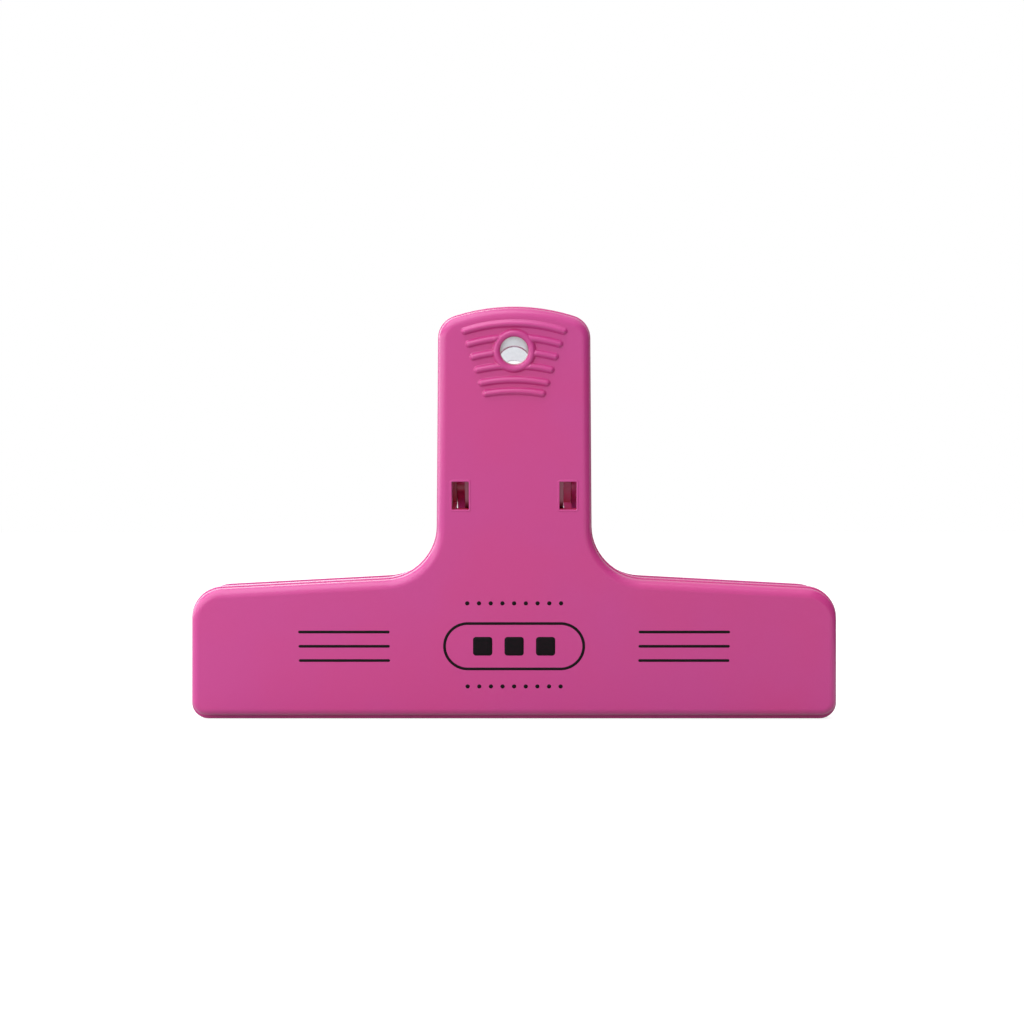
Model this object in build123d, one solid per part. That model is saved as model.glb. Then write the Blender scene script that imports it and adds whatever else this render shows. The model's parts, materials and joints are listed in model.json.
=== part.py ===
from build123d import *
from math import asin, cos, degrees, radians, sin, tan
import os

# A wide plastic letter clip: two identical T-shaped moulded halves that turn on stub axles moulded
# into them, and a U-shaped leaf spring that pushes the handles apart and so shuts the jaw.
# All sizes are in millimetres and all angles in degrees.
#
# The clip stands on its jaw: +X runs across the jaw, -Y is the front, +Z is up to the handles, and the
# origin is under the middle of the shut jaw. A half is drawn upright on its own plate, with x across,
# y as the depth inwards from the outer face and z up the plate, and seat() then tips it into place.

# ---- Stance of the two halves ----
PLATE_TILT = 10.5            # each plate leans out from the upright by this much
JAW_HALF_THICKNESS = 3.2     # from the foot of the outer face to the plane where the lips meet
LIP_MEETING_HEIGHT = 2.0     # the lips touch up to this height above the foot of the outer face
FULCRUM_HEIGHT = 46.6        # of the hinge axis above the foot of the clip

# ---- Outline of a half, at its open rim ----
JAW_WIDTH = 129.0            # at the foot
JAW_SIDE_DRAFT = 2.0         # each end of the jaw leans in upwards by this much
JAW_END_HEIGHT = 26.7        # at the ends of the jaw, up to the corner before it is rounded
JAW_TOP_SLOPE = 3.1          # the jaw's upper edge climbs towards the handle
JAW_TOP_CORNER_R = 6.5
JAW_FOOT_CORNER_R = 3.2
NECK_R = 10.6                # hollow corner between jaw and handle
HANDLE_TOP_WIDTH = 29.1
HANDLE_TAPER = 0.85          # each side of the handle leans out downwards by this much
HANDLE_CROWN_R = 38.0
HANDLE_CORNER_R = 4.5
PLATE_HEIGHT = 82.0          # foot to the crown of the handle, along the plate

# ---- Shell ----
WALL = 1.8                   # of the plate and of the border turned in round it
EDGE_ROUND = 1.7             # rounded edge between the outer face and the border
RIM_STEP = 0.2               # the open rim stands out from the border by this much
RIM_BEAD = 1.0               # depth of that rim
RIM_CHAMFER = 0.15
LIP_STEP = 1.1               # at the jaw's foot the rim reaches down this much, as the biting lip

# ---- Hang hole and grip ribs ----
HANG_HOLE_R = 2.7
HANG_HOLE_FROM_CROWN = 8.2
RING_R = 4.2                 # outside of the raised ring round the hang hole
RELIEF = 0.5                 # how far the ring and the ribs stand proud of the face
CROWN_SHARE = 0.3            # width of their flat top, as a share of their width at the face
RIB_COUNT = 6
RIB_WIDTH = 1.3
RIB_ARC_R = 31.5
RIB_FROM_CROWN = 3.0         # crown to the middle of the top rib
RIB_PITCH = 2.68
RIB_LAST_PITCH = 2.2
RIB_REACH = 9.5              # from the middle to the end of the top rib
RIB_REACH_STEP = 0.8         # each rib below ends this much sooner

# ---- Windows left by the mould's cores beside the fulcrum ----
WINDOW_WIDTH = 3.3
WINDOW_HEIGHT = 5.5
WINDOW_LAP = 1.0             # a window opens this much further in than the ear behind it
WINDOW_EDGE = 0.3            # chamfer round the mouth of a window

# ---- Fulcrum ----
AXLE_R = 2.0
AXLE_CLEARANCE = 0.05        # on the radius, between a stub axle and its eye
AXLE_CHAMFER = 0.4
EYE_WALL = 1.4               # plastic round the axle
EAR_THICKNESS = 1.5          # of the ear that carries the stub axle
EYE_THICKNESS = 1.6          # of the ear that holds the eye
EAR_GAP = 0.1                # between the two
EAR_FOOT = 14.0              # width of an ear where it leaves the plate

# ---- Leaf spring ----
SPRING_WIDTH = 19.2
SPRING_THICKNESS = 0.5
SPRING_SEAT_GAP = 0.05       # between a leg and the plate it lies on
SPRING_SIDE_GAP = 0.2        # between the strip and the ears
SPRING_END_GAP = 0.4         # between a leg's end and the border at the crown
SPRING_CORNER_R = 3.0
SPRING_HOLE_R = 3.0
SPRING_HOLE_DROP = 2.5       # the holes in the legs sit this much below the hang holes
SPRING_HOLE_EDGE = 0.3       # chamfer round them, on the side that lies on the plate

# ---- Stiffening ribs inside the jaw ----
STIFFENER_THICKNESS = 1.2
STIFFENER_HEIGHT = 1.2
STIFFENER_COUNT = 4          # upright ribs on each side of the middle
STIFFENER_FIRST = 20.0       # from the middle to the first of them
STIFFENER_PITCH = 12.0
LONG_STIFFENER_UP = 14.0     # height of the lengthwise rib on the plate

# ---- Worked out from the sizes above ----
TILT = radians(PLATE_TILT)
BORDER_DEPTH = JAW_HALF_THICKNESS * cos(TILT) + LIP_MEETING_HEIGHT * sin(TILT)
FOOT_DROP = (BORDER_DEPTH - RIM_BEAD + RIM_CHAMFER) * sin(TILT)
AXIS_DEPTH = JAW_HALF_THICKNESS * cos(TILT) + (FULCRUM_HEIGHT + FOOT_DROP) * sin(TILT)
AXIS_UP = (FULCRUM_HEIGHT + FOOT_DROP) * cos(TILT) - JAW_HALF_THICKNESS * sin(TILT)
HANG_HOLE_UP = PLATE_HEIGHT - HANG_HOLE_FROM_CROWN
EYE_R = AXLE_R + EYE_WALL
EAR_IN = SPRING_WIDTH / 2 + SPRING_SIDE_GAP
EYE_IN = EAR_IN + EAR_THICKNESS + EAR_GAP
WINDOW_MIDDLE = EAR_IN - WINDOW_LAP + WINDOW_WIDTH / 2
SPRING_R = AXIS_DEPTH - WALL - SPRING_SEAT_GAP
INWARDS = (0, 1, 0)
SMALLEST_CORNER_R = 0.3
OVERLAP = 0.5                # how far joined features run into each other
TRIM = 3 * JAW_WIDTH         # side of the blocks and depth of the drills that cut right through


def seat(half):
    """Tips a half out by the plate's tilt and sets its foot on the ground, as the front half."""
    return Pos(0, -JAW_HALF_THICKNESS, -FOOT_DROP) * Rot(PLATE_TILT, 0, 0) * half


def plate_layer(sketch, depth, thickness):
    """Thickens a sketch of the plate inwards, starting at a depth below the outer face."""
    return Pos(0, depth, 0) * extrude(Plane.XZ * sketch, amount=thickness, dir=INWARDS)


def tee(inset, foot):
    """The T outline drawn in from the open rim by inset, with its foot at the height foot."""
    slope = radians(JAW_TOP_SLOPE)
    draft = radians(JAW_SIDE_DRAFT)
    taper = radians(HANDLE_TAPER)
    half_foot = JAW_WIDTH / 2 - inset / cos(draft) - foot * tan(draft)
    middle_top = JAW_END_HEIGHT + JAW_WIDTH / 2 * tan(slope) - inset / cos(slope)
    half_end = half_foot - (JAW_END_HEIGHT - foot) * tan(draft)
    end_top = middle_top - half_end * tan(slope)
    jaw = Polygon(
        (-half_foot, foot), (half_foot, foot), (half_end, end_top), (0, middle_top), (-half_end, end_top),
        align=None,
    )
    root = JAW_END_HEIGHT / 2
    half_top = HANDLE_TOP_WIDTH / 2 - inset / cos(taper)
    half_root = half_top + (PLATE_HEIGHT - root) * tan(taper)
    handle = Polygon(
        (-half_root, root), (half_root, root), (half_top, PLATE_HEIGHT), (-half_top, PLATE_HEIGHT),
        align=None,
    )
    crown_r = HANDLE_CROWN_R - inset
    crown_centre = PLATE_HEIGHT - HANDLE_CROWN_R
    below_crown = Pos(0, (root + crown_centre) / 2) * Rectangle(2 * crown_r, abs(crown_centre - root))
    outline = jaw + (handle & (Pos(0, crown_centre) * Circle(crown_r) + below_crown))
    rounds = (JAW_FOOT_CORNER_R - inset, JAW_TOP_CORNER_R - inset, NECK_R + inset, HANDLE_CORNER_R - inset)
    for level in (3, 2, 1, 0):
        corners = outline.vertices().group_by(Axis.Y)[level]
        outline = fillet(corners, max(rounds[level], SMALLEST_CORNER_R))
    return outline


def cavity(depth, thickness):
    """The hollow inside the border, as a solid between two depths."""
    return plate_layer(tee(RIM_STEP + WALL, LIP_STEP + WALL), depth, thickness)


def shell():
    """The plate with its rounded edge, the border turned in round it and the stepped open rim."""
    border = plate_layer(tee(RIM_STEP, LIP_STEP), 0, BORDER_DEPTH)
    border = fillet(border.faces().sort_by(Axis.Y)[0].edges(), EDGE_ROUND)
    rim = plate_layer(tee(0, 0), BORDER_DEPTH - RIM_BEAD, RIM_BEAD)
    for end in (0, -1):
        rim = chamfer(rim.faces().sort_by(Axis.Y)[end].edges(), RIM_CHAMFER)
    return border + rim - cavity(WALL, BORDER_DEPTH)


def stiffeners():
    """Low ribs that keep the long jaw straight, cut off where they meet the border."""
    ribs = Pos(0, 0, LONG_STIFFENER_UP) * Box(TRIM, TRIM, STIFFENER_THICKNESS)
    for side in (-1, 1):
        for number in range(STIFFENER_COUNT):
            x = side * (STIFFENER_FIRST + number * STIFFENER_PITCH)
            ribs += Pos(x, 0, 0) * Box(STIFFENER_THICKNESS, TRIM, TRIM)
    room = plate_layer(tee(RIM_STEP + WALL / 2, LIP_STEP + WALL / 2), WALL / 2, WALL / 2 + STIFFENER_HEIGHT)
    return ribs & room


def bead(middle, width):
    """The section of a bead on the face, with sloped flanks and its root sunk in the plate.

    It is drawn about middle across x, with the plate's depth along y.
    """
    face = width / 2
    crown = CROWN_SHARE * face
    return Pos(middle, 0) * Polygon(
        (-face, OVERLAP), (-face, 0), (-crown, -RELIEF), (crown, -RELIEF), (face, 0), (face, OVERLAP),
        align=None,
    )


def grip_rib(up, reach):
    """One rib: a bead bent to the rib's arc, whose middle is at the height up."""
    half_angle = degrees(asin(reach / RIB_ARC_R))
    rib = revolve(bead(RIB_ARC_R, RIB_WIDTH), Axis.Y, 2 * half_angle)
    return Pos(0, 0, up - RIB_ARC_R) * Rot(0, -half_angle - 90, 0) * rib


def drill(radius):
    """A long cylinder square to the plate, on the centre of the hang hole."""
    return plate_layer(Pos(0, HANG_HOLE_UP) * Circle(radius), -TRIM / 2, TRIM)


def ring():
    """The raised ring round the hang hole, a bead of the same section as a rib's."""
    section = bead((HANG_HOLE_R + RING_R) / 2, RING_R - HANG_HOLE_R)
    return Pos(0, 0, HANG_HOLE_UP) * revolve(section, Axis.Y, 360)


def grip():
    """The ring and the arched ribs under it, which run into the ring and stop there."""
    ribs = []
    up = PLATE_HEIGHT - RIB_FROM_CROWN
    for number in range(RIB_COUNT):
        ribs.append(grip_rib(up, RIB_REACH - number * RIB_REACH_STEP))
        up -= RIB_PITCH if number < RIB_COUNT - 2 else RIB_LAST_PITCH
    inside_ring = drill((HANG_HOLE_R + RING_R) / 2)
    return [rib - inside_ring for rib in ribs] + [ring()]


def ear(inner_face, thickness):
    """A lug that narrows from its foot on the plate to the round eye wall about the hinge axis."""
    foot = Line(
        (WALL - OVERLAP, AXIS_UP - EAR_FOOT / 2),
        (WALL - OVERLAP, AXIS_UP + EAR_FOOT / 2),
    )
    eye = Pos(AXIS_DEPTH, AXIS_UP) * Circle(EYE_R)
    side = make_hull(ShapeList([foot.edge(), eye.edge()]))
    return Pos(inner_face, 0, 0) * extrude(Plane.YZ * side, amount=thickness, dir=(1, 0, 0))


def axle(radius, start, length):
    """A cylinder on the hinge axis, as the half that carries it is drawn."""
    return Pos(start, 0, 0) * extrude(
        Plane.YZ * Pos(AXIS_DEPTH, AXIS_UP) * Circle(radius), amount=length, dir=(1, 0, 0)
    )


def axle_ear():
    """The ear on the right, with its stub axle pointing outwards."""
    stub_length = EAR_GAP + EYE_THICKNESS
    stub = axle(AXLE_R, EAR_IN + EAR_THICKNESS - OVERLAP, stub_length + OVERLAP)
    stub = chamfer(stub.faces().sort_by(Axis.X)[-1].edges(), AXLE_CHAMFER)
    return ear(EAR_IN, EAR_THICKNESS) + stub


def eye_ear():
    """The ear on the left, which holds the other half's stub axle."""
    outer_face = -EYE_IN - EYE_THICKNESS
    bore = axle(AXLE_R + AXLE_CLEARANCE, outer_face - OVERLAP, EYE_THICKNESS + 2 * OVERLAP)
    return ear(outer_face, EYE_THICKNESS) - bore


def window(side):
    """A window and the pocket behind it, which runs up to the eye wall through the foot of the ear."""
    middle = Pos(side * WINDOW_MIDDLE, AXIS_UP)
    opening = middle * Rectangle(WINDOW_WIDTH, WINDOW_HEIGHT)
    pocket = plate_layer(opening, -OVERLAP, AXIS_DEPTH - EYE_R + OVERLAP)
    mouth = Rectangle(WINDOW_WIDTH + 2 * WINDOW_EDGE, WINDOW_HEIGHT + 2 * WINDOW_EDGE)
    bevel = extrude(Plane.XZ * middle * mouth, amount=-WINDOW_EDGE, taper=45)
    return pocket + bevel


def front_half():
    """A finished half in its place at the front of the clip."""
    behind_lip = Pos(0, TRIM / 2, 0) * Box(TRIM, TRIM, TRIM)
    body = seat(shell() + stiffeners()) - behind_lip
    for feature in [*grip(), axle_ear(), eye_ear()]:
        body += seat(feature)
    for side in (-1, 1):
        body -= seat(window(side))
    return body - seat(drill(HANG_HOLE_R))


def spring_leg():
    """A leg of the spring, flat on the inside of its plate and rounded off below the crown."""
    strip = Pos(0, (AXIS_UP + PLATE_HEIGHT) / 2) * Rectangle(SPRING_WIDTH, PLATE_HEIGHT - AXIS_UP)
    crown_r = HANDLE_CROWN_R - RIM_STEP - WALL - SPRING_END_GAP
    crown = Pos(0, PLATE_HEIGHT - HANDLE_CROWN_R) * Circle(crown_r)
    strip = fillet((strip & crown).vertices().group_by(Axis.Y)[-1], SPRING_CORNER_R)
    strip -= Pos(0, HANG_HOLE_UP - SPRING_HOLE_DROP) * Circle(SPRING_HOLE_R)
    leg = plate_layer(strip, WALL + SPRING_SEAT_GAP, SPRING_THICKNESS)
    hole_edge = leg.faces().sort_by(Axis.Y)[0].inner_wires()[0].edges()
    return chamfer(hole_edge, SPRING_HOLE_EDGE)


def leaf_spring():
    """The strip: two legs joined by a bend round the hinge axis, on the jaw's side of it."""
    section = Pos(0, WALL + SPRING_SEAT_GAP + SPRING_THICKNESS / 2, AXIS_UP) * Rectangle(
        SPRING_WIDTH, SPRING_THICKNESS
    )
    hinge_axis = Axis((0, AXIS_DEPTH, AXIS_UP), (1, 0, 0))
    bend = revolve(section, hinge_axis, 180 - 2 * PLATE_TILT)
    front_leg = seat(spring_leg())
    return front_leg + seat(bend) + Rot(0, 0, 180) * front_leg


def main():
    """Writes one STEP file for each piece of the clip."""
    front = front_half()
    pieces = {
        "front_half": front,
        "rear_half": Rot(0, 0, 180) * front,
        "leaf_spring": leaf_spring(),
    }
    os.makedirs("parts", exist_ok=True)
    for name, piece in pieces.items():
        export_step(piece, f"parts/{name}.step")


main()
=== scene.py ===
"""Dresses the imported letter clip: two moulded plastic halves, their leaf spring and the pad print on the jaw.

All lengths are in metres and all places are in the row frame, where +X runs along the jaw, -Y is the front
and +Z is up. What stands on a half is placed through its plate: across it, up it and proud of it.
"""

import json
import logging
import math
from dataclasses import dataclass, field
from enum import Enum

import bmesh
import bpy
import numpy as np
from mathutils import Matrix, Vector

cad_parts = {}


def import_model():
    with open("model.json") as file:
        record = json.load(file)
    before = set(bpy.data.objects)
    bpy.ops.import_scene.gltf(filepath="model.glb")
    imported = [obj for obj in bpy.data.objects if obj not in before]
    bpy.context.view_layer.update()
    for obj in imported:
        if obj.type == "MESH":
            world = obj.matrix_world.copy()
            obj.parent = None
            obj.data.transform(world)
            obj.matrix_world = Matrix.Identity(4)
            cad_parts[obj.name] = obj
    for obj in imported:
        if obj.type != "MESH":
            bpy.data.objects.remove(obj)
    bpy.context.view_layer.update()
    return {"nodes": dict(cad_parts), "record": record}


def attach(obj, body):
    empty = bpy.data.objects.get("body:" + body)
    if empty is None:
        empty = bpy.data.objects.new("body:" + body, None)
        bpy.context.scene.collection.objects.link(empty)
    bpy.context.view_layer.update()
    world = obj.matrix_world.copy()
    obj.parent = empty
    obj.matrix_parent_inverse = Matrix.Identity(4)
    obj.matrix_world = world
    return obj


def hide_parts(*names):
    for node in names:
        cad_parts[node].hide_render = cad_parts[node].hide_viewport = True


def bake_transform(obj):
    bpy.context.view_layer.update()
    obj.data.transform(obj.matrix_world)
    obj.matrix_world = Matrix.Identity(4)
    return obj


LOG = logging.getLogger("letter_clip")
MM = 0.001

# Points nearer than these are merged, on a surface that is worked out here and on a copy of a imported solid.
WELD = 0.0005 * MM
SOLID_WELD = 0.002 * MM

# Faces of a solid that turn by less than this are joined.
FLAT = math.radians(0.2)

# Nearly all of a noise node's values lie between these.
NOISE_ENDS = (0.3, 0.7)

Colour = tuple[float, float, float, float]
Triple = tuple[float, float, float]
WHITE: Colour = (1.0, 1.0, 1.0, 1.0)


class Slot(Enum):
    """The record's material slots."""

    PLASTIC = "pink_plastic"
    STEEL = "spring_steel"


class Side(Enum):
    """Which half of the clip a piece belongs to; the value is its body's name."""

    FRONT = "front"
    REAR = "rear"


# ---- Node helpers ----


def socket_of(sockets: bpy.types.bpy_prop_collection, name: str) -> bpy.types.NodeSocket:
    """The enabled socket of that name, since a Mix node has several of one name.

    Args:
        sockets: A node's inputs or outputs.
        name: The socket's name.

    Returns:
        The first enabled socket with that name.
    """
    return next(s for s in sockets if s.name == name and s.enabled)


class NodeSheet:
    """A node tree being filled in, with short ways to add and join nodes."""

    def __init__(self, tree: bpy.types.NodeTree) -> None:
        """Empties the tree.

        Args:
            tree: The node tree of a material or a world.
        """
        self.tree = tree
        tree.nodes.clear()

    def add(self, kind: str, settings: dict[str, object] | None = None, **inputs: object) -> bpy.types.Node:
        """Adds a node; an input given as a socket is linked, and any other value is set.

        Args:
            kind: The node's Blender type name.
            settings: Properties of the node itself.
            **inputs: Values by input name, with an underscore for each blank.

        Returns:
            The new node.
        """
        node = self.tree.nodes.new(kind)
        for name, value in (settings or {}).items():
            setattr(node, name, value)
        for name, value in inputs.items():
            self.feed(node, name.replace("_", " "), value)
        return node

    def feed(self, node: bpy.types.Node, name: str, value: object) -> None:
        """Links or sets one input.

        Args:
            node: The node to feed.
            name: Its input's name.
            value: A socket to link from, or a plain value.
        """
        target = socket_of(node.inputs, name)
        if isinstance(value, bpy.types.NodeSocket):
            self.tree.links.new(value, target)
        else:
            target.default_value = value

    def out(self, node: bpy.types.Node, name: str) -> bpy.types.NodeSocket:
        """An output socket of a node, by name."""
        return socket_of(node.outputs, name)

    def place(self, stretch: Triple = (1.0, 1.0, 1.0)) -> bpy.types.NodeSocket:
        """Object coordinates, stretched along the axes.

        Args:
            stretch: The factor on each axis.

        Returns:
            The vector socket of the Mapping node.
        """
        coordinates = self.add("ShaderNodeTexCoord")
        mapping = self.add("ShaderNodeMapping", Vector=self.out(coordinates, "Object"), Scale=stretch)
        return self.out(mapping, "Vector")

    def axis(self, name: str) -> bpy.types.NodeSocket:
        """One of the Object coordinates, X, Y or Z."""
        return self.out(self.add("ShaderNodeSeparateXYZ", Vector=self.place()), name)

    def noise(self, size: float, where: bpy.types.NodeSocket, detail: float) -> bpy.types.NodeSocket:
        """Noise whose lumps are about that large.

        Args:
            size: The size of a lump in metres.
            where: The coordinates that it reads.
            detail: Octaves of finer noise on it.

        Returns:
            The noise value, about 0.2 to 0.8.
        """
        node = self.add("ShaderNodeTexNoise", Vector=where, Scale=1.0 / size, Detail=detail)
        return self.out(node, "Fac")

    def spread(
        self, value: bpy.types.NodeSocket, low: float, high: float, ends: tuple[float, float] = NOISE_ENDS
    ) -> bpy.types.NodeSocket:
        """Maps a value, such as noise, smoothly onto a range.

        Args:
            value: The value socket.
            low: What the value's low end becomes.
            high: What its high end becomes.
            ends: Its low and its high end.

        Returns:
            The mapped value.
        """
        node = self.add("ShaderNodeMapRange", {"interpolation_type": "SMOOTHSTEP"}, Value=value)
        self.feed(node, "From Min", ends[0])
        self.feed(node, "From Max", ends[1])
        self.feed(node, "To Min", low)
        self.feed(node, "To Max", high)
        return self.out(node, "Result")

    def scaled(self, value: bpy.types.NodeSocket, low: float, high: float) -> bpy.types.NodeSocket:
        """A value scaled so that low becomes 0 and high becomes 1, and kept between them.

        Args:
            value: The value socket.
            low: What becomes 0.
            high: What becomes 1.

        Returns:
            The scaled value.
        """
        node = self.add("ShaderNodeMapRange", Value=value)
        self.feed(node, "From Min", low)
        self.feed(node, "From Max", high)
        return self.out(node, "Result")

    def calculate(self, operation: str, first: bpy.types.NodeSocket, second: object) -> bpy.types.NodeSocket:
        """One step of arithmetic.

        Args:
            operation: The Math node's operation.
            first: Its first value.
            second: Its second value, as a socket or a number.

        Returns:
            The result.
        """
        node = self.add("ShaderNodeMath", {"operation": operation})
        self.tree.links.new(first, node.inputs[0])
        if isinstance(second, bpy.types.NodeSocket):
            self.tree.links.new(second, node.inputs[1])
        else:
            node.inputs[1].default_value = second
        return node.outputs[0]

    def along(self, vector: bpy.types.NodeSocket, way: Triple) -> bpy.types.NodeSocket:
        """How far a vector points along a way: their dot product.

        Args:
            vector: The vector socket.
            way: The way.

        Returns:
            The value.
        """
        node = self.add("ShaderNodeVectorMath", {"operation": "DOT_PRODUCT"})
        self.tree.links.new(vector, node.inputs[0])
        node.inputs[1].default_value = way
        return self.out(node, "Value")

    def blend(self, amount: bpy.types.NodeSocket, first: object, second: object) -> bpy.types.NodeSocket:
        """Mixes two colours.

        Args:
            amount: The share of the second colour.
            first: A colour or a colour socket.
            second: A colour or a colour socket.

        Returns:
            The mixed colour.
        """
        node = self.add("ShaderNodeMix", {"data_type": "RGBA"}, Factor=amount, A=first, B=second)
        return self.out(node, "Result")

    def openness(self, reach: float, shut: float, open_from: float, samples: int = 4) -> bpy.types.NodeSocket:
        """How open the surface lies: 0 deep in a hollow and 1 where nothing stands near it.

        Args:
            reach: How far off something counts as near.
            shut: The open share of the half space at which a hollow counts as deep.
            open_from: The open share from which the surface counts as fully open.
            samples: Rays per look.

        Returns:
            The share.
        """
        node = self.add("ShaderNodeAmbientOcclusion", {"samples": samples}, Distance=reach)
        return self.scaled(self.out(node, "AO"), shut, open_from)

    def bump(self, height: bpy.types.NodeSocket, depth: float, strength: float) -> bpy.types.NodeSocket:
        """A bumped normal.

        Args:
            height: The height, from 0 to 1.
            depth: What a height of 1 is, in metres.
            strength: The share of it that shows.

        Returns:
            The normal.
        """
        node = self.add("ShaderNodeBump", Height=height, Distance=depth, Strength=strength)
        return self.out(node, "Normal")

    def join(
        self, kind: str, first: bpy.types.NodeSocket, second: bpy.types.NodeSocket, **inputs: object
    ) -> bpy.types.NodeSocket:
        """Joins two shaders.

        Args:
            kind: The type name of the node that joins them, which has them as its last two inputs.
            first: The first shader.
            second: The second shader.
            **inputs: The node's other inputs.

        Returns:
            The joined shader.
        """
        node = self.add(kind, **inputs)
        self.tree.links.new(first, node.inputs[-2])
        self.tree.links.new(second, node.inputs[-1])
        return self.out(node, "Shader")


def blank_material(name: str) -> tuple[bpy.types.Material, NodeSheet]:
    """Makes a material without nodes.

    Args:
        name: The material's name.

    Returns:
        The material, and the sheet that fills in its nodes.
    """
    made = bpy.data.materials.new(name)
    made.use_nodes = True
    return made, NodeSheet(made.node_tree)


def placed(name: str, data: bpy.types.ID) -> bpy.types.Object:
    """Puts a mesh, a light or a camera in the scene.

    Args:
        name: The new object's name.
        data: What it shows.

    Returns:
        The new object, at the origin.
    """
    thing = bpy.data.objects.new(name, data)
    bpy.context.scene.collection.objects.link(thing)
    return thing


# ---- Finishes ----


@dataclass(frozen=True)
class Finish:
    """What every finish has: a name and a way to become a material."""

    name: str = "finish"

    def dress(self, sheet: NodeSheet, shader: bpy.types.Node) -> None:
        """Fills in the shader; each kind of finish does this in its own way.

        Args:
            sheet: The material's node tree.
            shader: Its Principled shader.
        """
        raise NotImplementedError

    def material(self) -> bpy.types.Material:
        """Makes the material.

        Returns:
            A new material with a Principled shader that dress() has filled in.
        """
        made, sheet = blank_material(self.name)
        shader = sheet.add("ShaderNodeBsdfPrincipled")
        self.dress(sheet, shader)
        sheet.add("ShaderNodeOutputMaterial", Surface=sheet.out(shader, "BSDF"))
        return made


@dataclass(frozen=True)
class MouldedPlastic(Finish):
    """Satin moulded plastic: faint flow clouds, a fine spark-eroded grain and light handling scuffs.

    In hollows its colour is painted a deep red from ambient occlusion: painted shade, standing in for hollows
    that only light gone through the plastic reaches. The floor would count as a wall of a hollow too, so this
    painted shade starts clear of it. The scuffs stay below the roughness of 0.274, past which the denoiser
    would outline them.
    """

    name: str = "moulded_pink_plastic"
    colour: Colour = (0.512, 0.040, 0.202, 1.0)
    flow_colour: Colour = (0.497, 0.043, 0.220, 1.0)
    # Painted shade: the deep red that hollows are painted, standing in for shade and light come through the
    # plastic.
    hollow_shade_colour: Colour = (0.420, 0.002, 0.008, 1.0)
    hollow_reach: float = 8.0 * MM
    deep_hollow: tuple[float, float] = (0.20, 0.75)
    clear_of_floor: tuple[float, float] = (14.0 * MM, 9.0 * MM)
    flow_size: float = 22.0 * MM
    grain_size: float = 0.45 * MM
    grain_depth: float = 0.0008 * MM
    grain_share: float = 0.5
    scuff_size: float = 7.0 * MM
    smooth: float = 0.255
    scuffed: float = 0.270
    ior: float = 1.52

    def dress(self, sheet: NodeSheet, shader: bpy.types.Node) -> None:
        """Colour from flow clouds with painted shade in hollows, roughness from the scuffs and the normal from
        the grain.

        Args:
            sheet: The material's node tree.
            shader: Its Principled shader.
        """
        where = sheet.place()
        clouds = sheet.spread(sheet.noise(self.flow_size, where, detail=2.0), 0.0, 1.0)
        scuffs = sheet.noise(self.scuff_size, where, detail=3.0)
        grain = sheet.noise(self.grain_size, where, detail=2.0)
        open_colour = sheet.blend(clouds, self.colour, self.flow_colour)
        # Painted shade: where ambient occlusion finds a hollow, clear of the floor, the colour turns to the
        # deep red shade.
        hollow_shade = sheet.openness(self.hollow_reach, *self.deep_hollow)
        low_down = sheet.scaled(sheet.axis("Z"), *self.clear_of_floor)
        openness = sheet.calculate("MAXIMUM", hollow_shade, low_down)
        sheet.feed(shader, "Base Color", sheet.blend(openness, self.hollow_shade_colour, open_colour))
        sheet.feed(shader, "Roughness", sheet.spread(scuffs, self.smooth, self.scuffed))
        sheet.feed(shader, "Normal", sheet.bump(grain, self.grain_depth, self.grain_share))
        sheet.feed(shader, "IOR", self.ior)


@dataclass(frozen=True)
class SpringSteel(Finish):
    """Cold-rolled spring strip: rolling lines, dull blotches, and painted shade in its hollows and on its edges
    low by the ears.
    """

    name: str = "rolled_spring_steel"
    colour: Colour = (0.81, 0.82, 0.85, 1.0)
    dull_colour: Colour = (0.75, 0.76, 0.79, 1.0)
    # Painted shade: the strip's outer edges, below the ears' tops, are painted a dark reddish shade.
    edge_shade_colour: Colour = (0.26, 0.10, 0.13, 1.0)
    edge_shade_from: tuple[float, float] = (8.6 * MM, 8.2 * MM)
    edge_shade_heights: tuple[float, float] = (53.0 * MM, 58.0 * MM)
    # Painted shade: the dark colour that the strip's hollows are painted.
    hollow_shade_colour: Colour = (0.20, 0.05, 0.07, 1.0)
    hollow_reach: float = 8.0 * MM
    deep_hollow: tuple[float, float] = (0.22, 0.36)
    blotch_size: float = 0.7 * MM
    line_stretch: Triple = (1.0, 0.03, 0.03)
    line_size: float = 0.12 * MM
    line_depth: float = 0.004 * MM
    line_share: float = 0.6
    bright: float = 0.28
    dull: float = 0.33

    def dress(self, sheet: NodeSheet, shader: bpy.types.Node) -> None:
        """Colour from the blotches and painted shade, roughness from the blotches and the normal from the
        rolling lines.

        Args:
            sheet: The material's node tree.
            shader: Its Principled shader.
        """
        blotches = sheet.noise(self.blotch_size, sheet.place(), detail=4.0)
        lines = sheet.noise(self.line_size, sheet.place(self.line_stretch), detail=2.0)
        tint = sheet.spread(blotches, 0.0, 1.0)
        open_colour = sheet.blend(tint, self.colour, self.dull_colour)
        # Painted shade: the outer edges low down turn dark reddish, and hollows turn dark by ambient occlusion.
        middle = sheet.scaled(sheet.calculate("ABSOLUTE", sheet.axis("X"), 0.0), *self.edge_shade_from)
        high = sheet.scaled(sheet.axis("Z"), *self.edge_shade_heights)
        edge_shaded = sheet.blend(sheet.calculate("MAXIMUM", middle, high), self.edge_shade_colour, open_colour)
        openness = sheet.openness(self.hollow_reach, *self.deep_hollow)
        sheet.feed(shader, "Base Color", sheet.blend(openness, self.hollow_shade_colour, edge_shaded))
        sheet.feed(shader, "Roughness", sheet.spread(blotches, self.bright, self.dull))
        sheet.feed(shader, "Normal", sheet.bump(lines, self.line_depth, self.line_share))
        sheet.feed(shader, "Metallic", 1.0)


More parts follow.
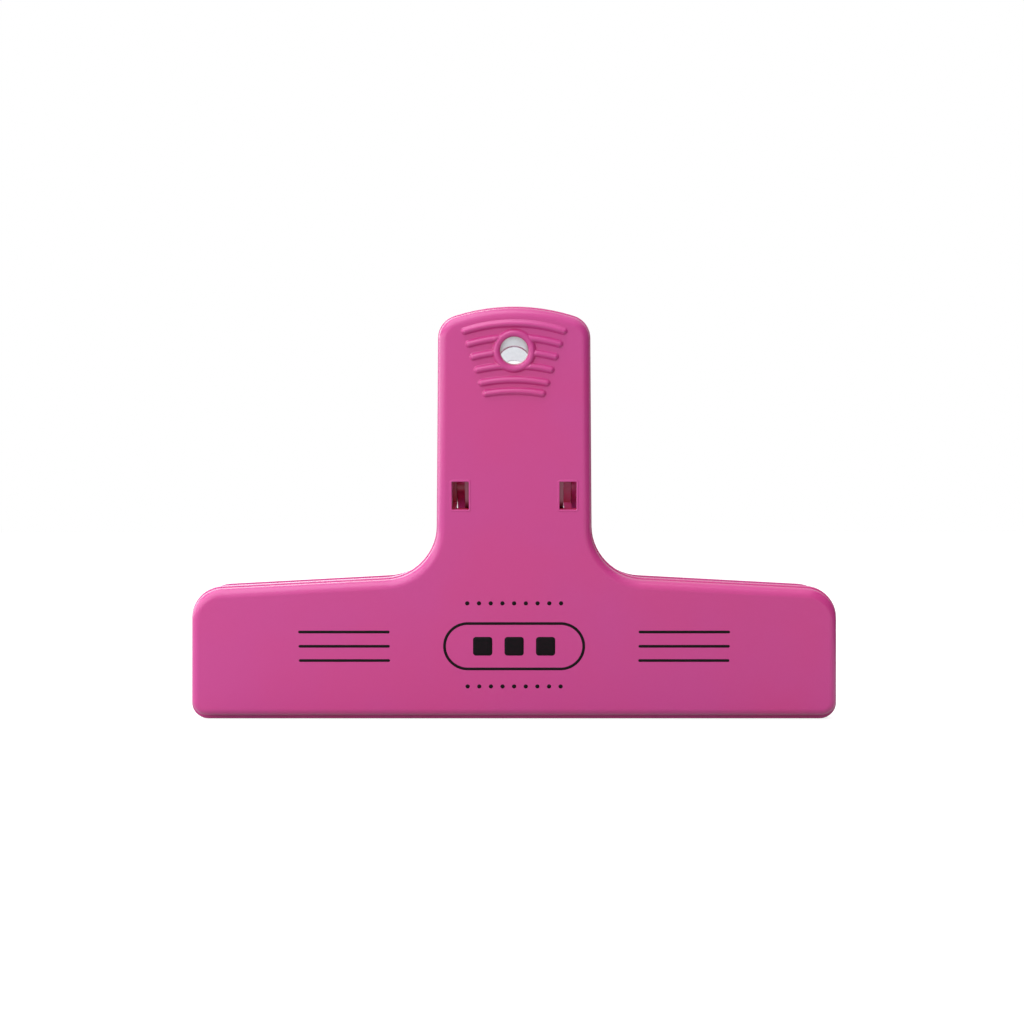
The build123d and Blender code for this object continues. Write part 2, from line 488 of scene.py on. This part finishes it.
@dataclass(frozen=True)
class PadInk(Finish):
    """Black pad-printing ink: dense, a little uneven in its gloss, with a fine grain."""

    name: str = "black_pad_ink"
    colour: Colour = (0.0022, 0.0018, 0.0022, 1.0)
    thin_colour: Colour = (0.0080, 0.0030, 0.0050, 1.0)
    mottle_size: float = 0.5 * MM
    grain_size: float = 0.16 * MM
    grain_depth: float = 0.005 * MM
    grain_share: float = 0.4
    bright: float = 0.52
    dull: float = 0.66
    mirroring: float = 0.12

    def dress(self, sheet: NodeSheet, shader: bpy.types.Node) -> None:
        """Colour and roughness from the mottle, and the normal from the grain.

        Args:
            sheet: The material's node tree.
            shader: Its Principled shader.
        """
        where = sheet.place()
        mottle = sheet.noise(self.mottle_size, where, detail=3.0)
        grain = sheet.noise(self.grain_size, where, detail=2.0)
        thin = sheet.spread(mottle, 0.0, 1.0)
        sheet.feed(shader, "Base Color", sheet.blend(thin, self.colour, self.thin_colour))
        sheet.feed(shader, "Roughness", sheet.spread(mottle, self.bright, self.dull))
        sheet.feed(shader, "Normal", sheet.bump(grain, self.grain_depth, self.grain_share))
        sheet.feed(shader, "Specular IOR Level", self.mirroring)


@dataclass(frozen=True)
class StudioPaper:
    """White studio paper: it looks white to the eye and in reflections, and takes the object's shadow."""

    name: str = "studio_paper"
    colour: Colour = (0.36, 0.36, 0.36, 1.0)
    seen_white: float = 0.78
    mirrored: float = 0.42

    def material(self) -> bpy.types.Material:
        """A diffuse shader plus a glow that only camera, glossy and transmission rays see.

        Returns:
            The paper's material.
        """
        made, sheet = blank_material(self.name)
        paper = sheet.out(sheet.add("ShaderNodeBsdfDiffuse", Color=self.colour), "BSDF")
        glow = sheet.out(sheet.add("ShaderNodeEmission", Strength=self.seen_white), "Emission")
        dark = sheet.out(sheet.add("ShaderNodeEmission", Strength=0.0), "Emission")
        seen = sheet.join("ShaderNodeMixShader", dark, glow, Fac=seen_directly(sheet, self.mirrored))
        both = sheet.join("ShaderNodeAddShader", paper, seen)
        sheet.add("ShaderNodeOutputMaterial", Surface=both)
        return made


@dataclass(frozen=True)
class BlackCard:
    """Matt black card."""

    name: str = "black_card"
    colour: Colour = (0.01, 0.01, 0.01, 1.0)

    def material(self) -> bpy.types.Material:
        """A plain diffuse shader.

        Returns:
            The card's material.
        """
        made, sheet = blank_material(self.name)
        face = sheet.add("ShaderNodeBsdfDiffuse", Color=self.colour)
        sheet.add("ShaderNodeOutputMaterial", Surface=sheet.out(face, "BSDF"))
        return made


def seen_directly(sheet: NodeSheet, mirrored: bpy.types.NodeSocket | float) -> bpy.types.NodeSocket:
    """1 for camera and transmission rays, mirrored for glossy rays and 0 for those that carry diffuse light.

    Args:
        sheet: The node tree to add the test to.
        mirrored: How far glossy rays count.

    Returns:
        The value socket.
    """
    path = sheet.add("ShaderNodeLightPath")
    camera, through = sheet.out(path, "Is Camera Ray"), sheet.out(path, "Is Transmission Ray")
    straight = sheet.calculate("MAXIMUM", camera, through)
    glossy = sheet.calculate("MULTIPLY", sheet.out(path, "Is Glossy Ray"), mirrored)
    return sheet.calculate("MAXIMUM", straight, glossy)


# ---- Surfaces ----


@dataclass
class Surface:
    """Points and quads gathered from several grids, to become one mesh."""

    points: list[np.ndarray] = field(default_factory=list)
    quads: list[np.ndarray] = field(default_factory=list)
    count: int = 0

    def add_grid(self, grid: np.ndarray, keep: np.ndarray | None = None, closed: bool = False) -> None:
        """Adds a grid of points and the quads between its neighbours.

        Quad (i, j) joins the points (i, j), (i, j + 1), (i + 1, j + 1) and (i + 1, j), so on an open grid it
        faces the viewer who sees the columns run right and the rows run up. On a closed grid, whose columns
        run left round a middle and whose rows run out from it, the quads are turned to face that viewer too.

        Args:
            grid: Points of shape (rows, columns, 3).
            keep: Which points are wanted; a quad stays where any of its corners is. All are, if not given.
            closed: Whether the last column joins the first again.
        """
        rows, columns = grid.shape[:2]
        index = self.count + np.arange(rows * columns).reshape(rows, columns)
        ahead = np.roll(index, -1, axis=1) if closed else index[:, 1:]
        here = index if closed else index[:, :-1]
        quads = np.stack([here[:-1], ahead[:-1], ahead[1:], here[1:]], axis=-1).reshape(-1, 4)
        if keep is not None:
            quads = quads[keep.ravel()[quads - self.count].any(axis=1)]
        self.points.append(grid.reshape(-1, 3))
        self.quads.append(quads[:, ::-1] if closed else quads)
        self.count += rows * columns

    def to_object(self, name: str) -> bpy.types.Object:
        """Makes the mesh object, with doubles merged and faces smooth.

        Args:
            name: The piece's name.

        Returns:
            The new object, at the origin.
        """
        mesh = bpy.data.meshes.new(name)
        points = np.concatenate(self.points)
        mesh.from_pydata(points.tolist(), [], np.concatenate(self.quads).tolist())
        return finished_object(name, mesh, WELD)


def finished_object(name: str, mesh: bpy.types.Mesh, weld: float) -> bpy.types.Object:
    """Merges a mesh's doubles, shades it smooth and links it as an object at the origin.

    Args:
        name: The piece's name.
        mesh: The mesh to finish.
        weld: Points nearer than this are merged.

    Returns:
        The new object.
    """
    work = bmesh.new()
    work.from_mesh(mesh)
    bmesh.ops.remove_doubles(work, verts=work.verts, dist=weld)
    bmesh.ops.dissolve_degenerate(work, edges=work.edges, dist=weld)
    bmesh.ops.delete(work, geom=[v for v in work.verts if not v.link_faces], context="VERTS")
    work.to_mesh(mesh)
    work.free()
    mesh.shade_smooth()
    return placed(name, mesh)


def round_corners(
    half_width: float, half_height: float, corner: float, columns: int
) -> tuple[np.ndarray, np.ndarray]:
    """The corner centres and outward ways of a rectangle with round corners.

    Column k lies at the angle a = (k + 1/2) / columns of a full turn. Its way is (cos a, sin a), and its
    centre is ((half_width - corner) * sign(cos a), (half_height - corner) * sign(sin a)), so that the
    rectangle's edge is at centre + corner * way.

    Args:
        half_width: Half the rectangle's width.
        half_height: Half its height.
        corner: Its corner radius.
        columns: How many columns go round.

    Returns:
        The centres and the ways, each of shape (2, columns).
    """
    angle = (np.arange(columns) + 0.5) * 2 * math.pi / columns
    way = np.stack([np.cos(angle), np.sin(angle)])
    reach = np.array([half_width - corner, half_height - corner])[:, None]
    return reach * np.sign(way), way


def put_material(piece: bpy.types.Object, material: bpy.types.Material) -> None:
    """Gives a piece one material in place of any that it has."""
    piece.data.materials.clear()
    piece.data.materials.append(material)


# ---- The plate of a half ----


@dataclass(frozen=True)
class Plate:
    """The outer plane of a half, with its origin at one of the record's mounts on it.

    A place on it is given as across, up and proud: to the right for someone who looks at that face, up the
    plate, and out from it.
    """

    origin: np.ndarray
    outward: np.ndarray

    @classmethod
    def of(cls, record: dict, mount_name: str) -> "Plate":
        """Finds a half's plate at a mount.

        Args:
            record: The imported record.
            mount_name: A flat face on the plate, or a bore through it, whose middle lies half as deep as it
                is long.

        Returns:
            The plate, with its origin in the outer face.
        """
        mount = next(m for m in record["mounts"] if m["name"] == mount_name)
        outward = np.array(mount["axis"], float)
        depth = mount["dims"].get("length_mm", 0.0) * MM / 2
        return cls(np.array(mount["pos_m"], float) + depth * outward, outward)

    @property
    def up(self) -> np.ndarray:
        """The way up the plate."""
        return np.array([0.0, -self.outward[2], self.outward[1]]) * np.sign(self.outward[1])

    def at(self, across: np.ndarray, up: np.ndarray, proud: np.ndarray | float) -> np.ndarray:
        """Points in the row frame.

        Each point is the plate's origin plus across along its width, up along its height and proud along its
        outward normal.

        Args:
            across: Places along its width.
            up: Places along its height.
            proud: Heights above the outer face.

        Returns:
            Points, with one more axis than the places.
        """
        across, up, proud = np.broadcast_arrays(across, up, proud)
        steps = (across[..., None] * np.cross(self.up, self.outward), up[..., None] * self.up)
        return self.origin + steps[0] + steps[1] + proud[..., None] * self.outward


# ---- Pieces of the clip ----


@dataclass(frozen=True)
class Edges:
    """How crisp edges are broken: the least turn that counts as crisp, the width and the number of steps."""

    crisp: float = math.radians(32)
    width: float = 0.07 * MM
    steps: int = 2
    flat_weight: int = 100

    def apply(self, piece: bpy.types.Object) -> None:
        """Adds the modifiers that break the edges and keep flat faces flat in their shading.

        Args:
            piece: The solid's copy.
        """
        edge = piece.modifiers.new("broken_edges", "BEVEL")
        edge.limit_method = "ANGLE"
        edge.angle_limit = self.crisp
        edge.width = self.width
        edge.segments = self.steps
        shading = piece.modifiers.new("face_weighted_shading", "WEIGHTED_NORMAL")
        shading.keep_sharp = True
        shading.weight = self.flat_weight


def solid_copy(node: bpy.types.Object, name: str) -> bpy.types.Object:
    """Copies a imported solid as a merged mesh, with the triangles of each flat face joined.

    Args:
        node: The solid's CAD node.
        name: The new piece's name.

    Returns:
        The new piece, at the origin.
    """
    piece = finished_object(name, node.data.copy(), SOLID_WELD)
    work = bmesh.new()
    work.from_mesh(piece.data)
    bmesh.ops.dissolve_limit(work, angle_limit=FLAT, verts=work.verts, edges=work.edges, delimit={"NORMAL"})
    work.to_mesh(piece.data)
    work.free()
    piece.data.shade_smooth()
    return piece


def report(piece: bpy.types.Object) -> None:
    """Logs a finished piece."""
    LOG.info("%s: %d faces, %s", piece.name, len(piece.data.polygons), piece.data.materials[0].name)


@dataclass
class MouldedHalf:
    """A half as it leaves the mould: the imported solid's surface, with its crisp edges just broken."""

    side: Side
    edges: Edges = Edges()

    def build(self, nodes: dict[str, bpy.types.Object], finish: bpy.types.Material) -> bpy.types.Object:
        """Copies and finishes the half's solid and stands it in for the node.

        Args:
            nodes: The frame's CAD nodes.
            finish: The plastic.

        Returns:
            The finished half.
        """
        name = f"{self.side.value}_half"
        piece = solid_copy(nodes[name], f"{name}_moulding")
        self.edges.apply(piece)
        put_material(piece, finish)
        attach(piece, self.side.value)
        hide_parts(name)
        report(piece)
        return piece


@dataclass
class GripRelief:
    """The rounded beads of a handle's grip: the ring round the hang hole and the arched ribs."""

    side: Side
    hole_r: float = 2.7 * MM
    crest_r: float = 3.45 * MM
    relief: float = 0.62 * MM
    foot: float = 0.75 * MM
    roundness: float = 1.1
    rib_arc_r: float = 31.5 * MM
    rib_middles: tuple[float, ...] = (
        5.2 * MM, 2.52 * MM, -0.16 * MM, -2.84 * MM, -5.52 * MM, -7.72 * MM,
    )
    rib_reach: float = 9.4 * MM
    rib_reach_step: float = 0.8 * MM
    join_sharpness: float = 8.0
    half_width: float = 10.8 * MM
    margin: float = 1.0 * MM
    pitch: float = 0.1 * MM
    ring_steps: int = 10
    ring_columns: int = 180
    ring_reach: float = 4.5 * MM
    sink: float = 0.003 * MM

    def bead(self, distance: np.ndarray) -> np.ndarray:
        """The height of a bead at a distance from its crest.

        The height is relief * (1 - (distance / foot) ** 2) ** roundness. It is round at the crest and steep
        near the foot, and the softer there the larger roundness is.

        Args:
            distance: Distances from the crest line.

        Returns:
            Heights above the face.
        """
        return self.relief * np.clip(1 - (distance / self.foot) ** 2, 0, 1) ** self.roundness

    def height(self, across: np.ndarray, up: np.ndarray) -> np.ndarray:
        """The height of ribs and ring together, about the hang hole.

        A rib's crest is an arc of radius rib_arc_r under its middle, cut off at its reach; past the ends the
        distance is to the end point, so the ends are round. Ribs fade out inside the ring's crest. Ribs and
        ring join by the root of the sum of their heights' powers, which rounds the hollow between them.

        Args:
            across: Places along the plate's width from the hole's middle.
            up: Places up the plate from it.

        Returns:
            Heights above the face.
        """
        radius = np.hypot(across, up)
        outside = np.clip((radius - self.crest_r) / self.foot, 0, 1)
        total = self.bead(radius - self.crest_r) ** self.join_sharpness
        for number, middle in enumerate(self.rib_middles):
            centre = middle - self.rib_arc_r
            limit = math.asin((self.rib_reach - number * self.rib_reach_step) / self.rib_arc_r)
            angle = np.clip(np.arctan2(across, up - centre), -limit, limit)
            aside = across - self.rib_arc_r * np.sin(angle)
            above = up - centre - self.rib_arc_r * np.cos(angle)
            rib = self.bead(np.hypot(aside, above)) * np.sqrt(outside)
            total = total + rib**self.join_sharpness
        return total ** (1 / self.join_sharpness)

    def ribs(self, surface: Surface, plate: Plate) -> None:
        """Adds the ribs outside the ring as a grid whose rows follow their arcs.

        Column x and row v lie across x and up v + root(rib_arc_r ** 2 - x ** 2) - rib_arc_r.

        Args:
            surface: The surface to add to.
            plate: The half's plate at the hang hole.
        """
        low, high = self.rib_middles[-1] - self.margin, self.rib_middles[0] + self.margin
        across = np.linspace(-self.half_width, self.half_width, round(2 * self.half_width / self.pitch) + 1)
        level = np.linspace(low, high, round((high - low) / self.pitch) + 1)[:, None]
        up = level + np.sqrt(self.rib_arc_r**2 - across**2) - self.rib_arc_r
        across = np.broadcast_to(across, up.shape)
        height = self.height(across, up)
        inner = (self.crest_r + self.ring_reach) / 2
        keep = (height > self.sink) & (np.hypot(across, up) > inner)
        surface.add_grid(plate.at(across, up, height - self.sink), keep)

    def ring(self, surface: Surface, plate: Plate) -> None:
        """Adds the ring as a polar grid: down the hole's wall, over the crest and out to where ribs go on.

        Inside the crest the section is a quarter of an ellipse: radius crest_r - (crest_r - hole_r) * cos(t)
        and height relief * sin(t), for t from 0 to a right angle.

        Args:
            surface: The surface to add to.
            plate: The half's plate at the hang hole.
        """
        turn = np.linspace(0, math.pi / 2, self.ring_steps + 1)
        inner_r = self.crest_r - (self.crest_r - self.hole_r) * np.cos(turn)
        outer_r = np.linspace(self.crest_r, self.ring_reach, 2 * self.ring_steps + 1)[1:]
        wall_r = np.full(2, self.hole_r - self.sink)
        radius = np.concatenate([wall_r, inner_r, outer_r])[:, None]
        angle = np.linspace(0, 2 * math.pi, self.ring_columns, endpoint=False)
        across, up = radius * np.cos(angle), radius * np.sin(angle)
        height = self.height(across, up)
        height[: len(wall_r)] = np.array([-self.relief, 0.0])[:, None]
        height[len(wall_r) : len(wall_r) + len(turn)] = self.relief * np.sin(turn)[:, None]
        surface.add_grid(plate.at(across, up, height - self.sink), closed=True)

    def build(self, record: dict, finish: bpy.types.Material) -> bpy.types.Object:
        """Makes ring and ribs as one piece on the face of the half.

        Args:
            record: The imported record.
            finish: The plastic.

        Returns:
            The piece.
        """
        plate = Plate.of(record, f"hang_hole_{self.side.value}")
        surface = Surface()
        self.ring(surface, plate)
        self.ribs(surface, plate)
        piece = surface.to_object(f"{self.side.value}_grip_relief")
        put_material(piece, finish)
        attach(piece, self.side.value)
        report(piece)
        return piece


@dataclass
class WindowLips:
    """The rounded lips that the mould leaves round the two windows of a half, over their bevelled mouths."""

    side: Side
    below_hole: float = 28.087 * MM
    middle: float = 10.45 * MM
    half_width: float = 1.65 * MM
    half_height: float = 2.75 * MM
    corner: float = 0.12 * MM
    breadth: float = 0.40 * MM
    crest: float = 0.07 * MM
    depth: float = 0.34 * MM
    sink: float = 0.004 * MM
    columns: int = 64
    rows: int = 8

    def lip(self, surface: Surface, plate: Plate, across: float) -> None:
        """Adds the lip of one window as a closed band of points.

        The columns go round the window as round_corners gives them. The section is half an ellipse: at the
        step t, from 0 to half a turn, a row lies breadth / 2 * (1 - cos t) outside the window and
        crest * sin t proud of the face. A first row lies down in the window, which covers its bevel.

        Args:
            surface: The surface to add to.
            plate: The half's plate at the hang hole.
            across: The window's middle, across the plate.
        """
        centre, way = round_corners(self.half_width, self.half_height, self.corner, self.columns)
        turn = np.linspace(0, math.pi, self.rows + 1)
        out = np.concatenate([[0.0], self.breadth / 2 * (1 - np.cos(turn))]) + self.corner
        height = np.concatenate([[-self.depth], self.crest * np.sin(turn) - self.sink])
        place = centre + out[:, None, None] * way
        up = place[:, 1] - self.below_hole
        surface.add_grid(plate.at(across + place[:, 0], up, height[:, None]), closed=True)

    def build(self, record: dict, finish: bpy.types.Material) -> bpy.types.Object:
        """Makes both lips as one piece on the face of the half.

        Args:
            record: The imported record.
            finish: The plastic.

        Returns:
            The piece.
        """
        plate = Plate.of(record, f"hang_hole_{self.side.value}")
        surface = Surface()
        for side in (-1, 1):
            self.lip(surface, plate, side * self.middle)
        piece = surface.to_object(f"{self.side.value}_window_lips")
        put_material(piece, finish)
        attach(piece, self.side.value)
        report(piece)
        return piece


@dataclass
class LeafSpring:
    """The spring strip, whose bend under the hinge axis closes up as the handles are squeezed; this copy stays
    as it rests and does not bend.
    """

    axis_up: float = 46.6 * MM
    bend_r: float = 9.63 * MM
    bend_drop: float = 1.8 * MM
    edges: Edges = Edges(width=0.1 * MM)

    def build(self, nodes: dict[str, bpy.types.Object], finish: bpy.types.Material) -> bpy.types.Object:
        """Copies and finishes the strip, stands it in for the node and bakes its place into its mesh; it rides
        with neither half.

        Args:
            nodes: The frame's CAD nodes.
            finish: The steel.

        Returns:
            The strip.
        """
        piece = solid_copy(nodes["leaf_spring"], "leaf_spring_strip")
        self.edges.apply(piece)
        put_material(piece, finish)
        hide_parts("leaf_spring")
        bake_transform(piece)
        report(piece)
        return piece


@dataclass
class PadPrint:
    """Black marks on the front of the jaw: a lozenge round three tablets, writing lines and rows of dots."""

    proud: float = 0.012 * MM
    sink: float = 0.004 * MM
    line: float = 0.55 * MM
    columns: int = 48
    middle_up: float = 1.6 * MM
    lozenge: tuple[float, float] = (14.0 * MM, 4.9 * MM)
    tablet: Triple = (1.9 * MM, 1.9 * MM, 0.6 * MM)
    tablet_pitch: float = 6.2 * MM
    rule_middle: float = 33.5 * MM
    rule_half_length: float = 9.0 * MM
    rule_pitch: float = 2.9 * MM
    rules: int = 3
    dot_r: float = 0.42 * MM
    dot_pitch: float = 2.3 * MM
    dots: int = 9
    dot_rows: tuple[float, ...] = (10.3 * MM, -6.6 * MM)

    def mark(
        self,
        surface: Surface,
        plate: Plate,
        middle: tuple[float, float],
        size: Triple,
        line: float | None = None,
    ) -> None:
        """Adds one mark with round corners, filled or as an outline.

        The columns go round the mark as round_corners gives them. At a row's share s and reach r, a point is
        s * centre + r * way: an outline's rows lie at the line's inner and outer edge, and a filled mark's
        rows at its middle, at the corner centres and at its edge. The last row dips under the face.

        Args:
            surface: The surface to add to.
            plate: The half's plate at its face mount.
            middle: The mark's middle, across and up.
            size: Its half width, half height and corner radius.
            line: The width of the outline, or nothing for a filled mark.
        """
        corner = size[2]
        centre, way = round_corners(*size, self.columns)
        outline = [(1.0, corner - line - self.sink), (1.0, corner - line)] if line else []
        rows = (outline or [(0.0, 0.0), (1.0, 0.0)]) + [(1.0, corner), (1.0, corner + self.sink)]
        height = [-self.sink if line else self.proud, self.proud, self.proud, -self.sink]
        place = np.stack([share * centre + reach * way for share, reach in rows])
        across, up = middle[0] + place[:, 0], middle[1] + place[:, 1]
        surface.add_grid(plate.at(across, up, np.array(height)[:, None]), closed=True)

    def build(self, record: dict, finish: bpy.types.Material) -> bpy.types.Object:
        """Makes all the marks as one piece.

        Args:
            record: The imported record.
            finish: The ink.

        Returns:
            The print.
        """
        plate = Plate.of(record, "front_face")
        surface = Surface()
        wide, high = self.lozenge
        self.mark(surface, plate, (0.0, self.middle_up), (wide, high, high), self.line)
        for number in (-1, 0, 1):
            self.mark(surface, plate, (number * self.tablet_pitch, self.middle_up), self.tablet)
        rule = (self.rule_half_length, self.line / 2, self.line / 2)
        for side in (-1, 1):
            for number in range(self.rules):
                up = self.middle_up + (number - (self.rules - 1) / 2) * self.rule_pitch
                self.mark(surface, plate, (side * self.rule_middle, up), rule)
        for up in self.dot_rows:
            for number in range(self.dots):
                across = (number - (self.dots - 1) / 2) * self.dot_pitch
                self.mark(surface, plate, (across, up), (self.dot_r, self.dot_r, self.dot_r))
        piece = surface.to_object("jaw_pad_print")
        put_material(piece, finish)
        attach(piece, Side.FRONT.value)
        report(piece)
        return piece


@dataclass(frozen=True)
class Lamp:
    """A soft lamp: name, place, width and height, power, colour, and whether glossy surfaces mirror it."""

    name: str
    place: Triple
    size: tuple[float, float]
    power: float
    colour: Triple = WHITE[:3]
    mirrored: bool = True

    def build(self, target: Vector) -> None:
        """Hangs the lamp.

        Args:
            target: What it looks at.
        """
        light = bpy.data.lights.new(self.name, "AREA")
        light.shape = "RECTANGLE"
        light.size, light.size_y = self.size
        light.energy = self.power
        light.color = self.colour
        lamp = placed(self.name, light)
        lamp.location = self.place
        lamp.visible_camera = False
        lamp.visible_glossy = self.mirrored
        lamp.rotation_euler = (target - lamp.location).to_track_quat("-Z", "Y").to_euler()


def card_mesh(name: str, corners: list[Triple]) -> bpy.types.Mesh:
    """Makes a flat card.

    Args:
        name: The mesh's name.
        corners: Its four corners in order.

    Returns:
        A mesh of one quad.
    """
    mesh = bpy.data.meshes.new(name)
    mesh.from_pydata(corners, [], [(0, 1, 2, 3)])
    return mesh


@dataclass
class Studio:
    """The room, the paper, the lamps and the camera."""

    lens: float = 59.572265625
    sensor: float = 36.0
    camera_place: Triple = (-0.42 * MM, -340.0 * MM, 41.32 * MM)
    paper_size: float = 6.0
    bright_way: Triple = (-0.50, -0.05, 0.86)
    bright_ends: tuple[float, float] = (-0.9, 0.9)
    room_dark: float = 0.06
    room_bright: float = 0.95
    mirrored_way: Triple = (-0.70, 0.30, 0.65)
    mirrored_from: tuple[float, float] = (-0.05, 0.35)
    lamps: tuple[Lamp, ...] = (
        Lamp("overhead_softbox", (-0.32, -0.26, 0.68), (0.85, 0.85), 5.5, (0.82, 0.93, 1.0)),
        Lamp("front_fill", (-0.25, -0.95, 0.20), (0.70, 0.70), 3.9, mirrored=False),
        Lamp("back_fill", (-0.40, 0.80, 0.50), (0.70, 0.70), 3.2),
        Lamp("left_strip", (-0.21, -0.03, 0.06), (0.46, 0.10), 0.28, (0.86, 0.95, 1.0)),
    )
    flag_x: float = 126.0 * MM
    flag_y: tuple[float, float] = (-160.0 * MM, 60.0 * MM)
    flag_height: float = 160.0 * MM
    lamp_target: Triple = (0.0, 0.0, 0.040)

    def build(self) -> None:
        """Sets up the whole studio."""
        self.room()
        self.paper()
        self.flag()
        for lamp in self.lamps:
            lamp.build(Vector(self.lamp_target))
        self.camera()

    def room(self) -> None:
        """A room that is bright above and on the left and dim on the right and below.

        Its light is spread from dim to bright by the dot product of the ray's way with bright_way. The camera
        sees it plain white, and so do reflections of what lies along mirrored_way.
        """
        world = bpy.data.worlds.new("studio_room")
        world.use_nodes = True
        bpy.context.scene.world = world
        sheet = NodeSheet(world.node_tree)
        way = sheet.out(sheet.add("ShaderNodeTexCoord"), "Generated")
        bright = sheet.along(way, self.bright_way)
        level = sheet.spread(bright, self.room_dark, self.room_bright, self.bright_ends)
        light = sheet.add("ShaderNodeBackground", Color=WHITE, Strength=level)
        white = sheet.add("ShaderNodeBackground", Color=WHITE, Strength=1.0)
        mirrored = sheet.scaled(sheet.along(way, self.mirrored_way), *self.mirrored_from)
        mix = sheet.join(
            "ShaderNodeMixShader",
            sheet.out(light, "Background"),
            sheet.out(white, "Background"),
            Fac=seen_directly(sheet, mirrored),
        )
        sheet.add("ShaderNodeOutputWorld", Surface=mix)

    def paper(self) -> None:
        """The floor, a plane under the clip."""
        half = self.paper_size / 2
        corners = [(-half, -half, 0.0), (half, -half, 0.0), (half, half, 0.0), (-half, half, 0.0)]
        floor = placed("floor", card_mesh("floor", corners))
        put_material(floor, StudioPaper().material())

    def flag(self) -> None:
        """A dark card that stands on the right, which only the clip's right-hand edges mirror."""
        (near, far), top = self.flag_y, self.flag_height
        sides = [(near, 0.0), (far, 0.0), (far, top), (near, top)]
        card = placed("dark_flag", card_mesh("dark_flag", [(self.flag_x, y, z) for y, z in sides]))
        put_material(card, BlackCard().material())
        card.visible_camera = False
        card.visible_diffuse = False
        card.visible_shadow = False

    def camera(self) -> None:
        """The camera, level and square to the clip."""
        data = bpy.data.cameras.new("camera")
        data.sensor_width = self.sensor
        data.lens = self.lens
        camera = placed("camera", data)
        camera.location = self.camera_place
        camera.rotation_euler = (math.pi / 2, 0.0, 0.0)
        bpy.context.scene.camera = camera


def main() -> None:
    """Builds the dressed clip in its studio."""
    logging.basicConfig(level=logging.INFO, format="%(message)s")
    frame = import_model()
    bpy.context.scene.view_settings.view_transform = "Standard"
    plastic = MouldedPlastic().material()
    for side in Side:
        MouldedHalf(side).build(frame["nodes"], plastic)
        GripRelief(side).build(frame["record"], plastic)
        WindowLips(side).build(frame["record"], plastic)
    LeafSpring().build(frame["nodes"], SpringSteel().material())
    PadPrint().build(frame["record"], PadInk().material())
    Studio().build()


if __name__ == "__main__":
    main()
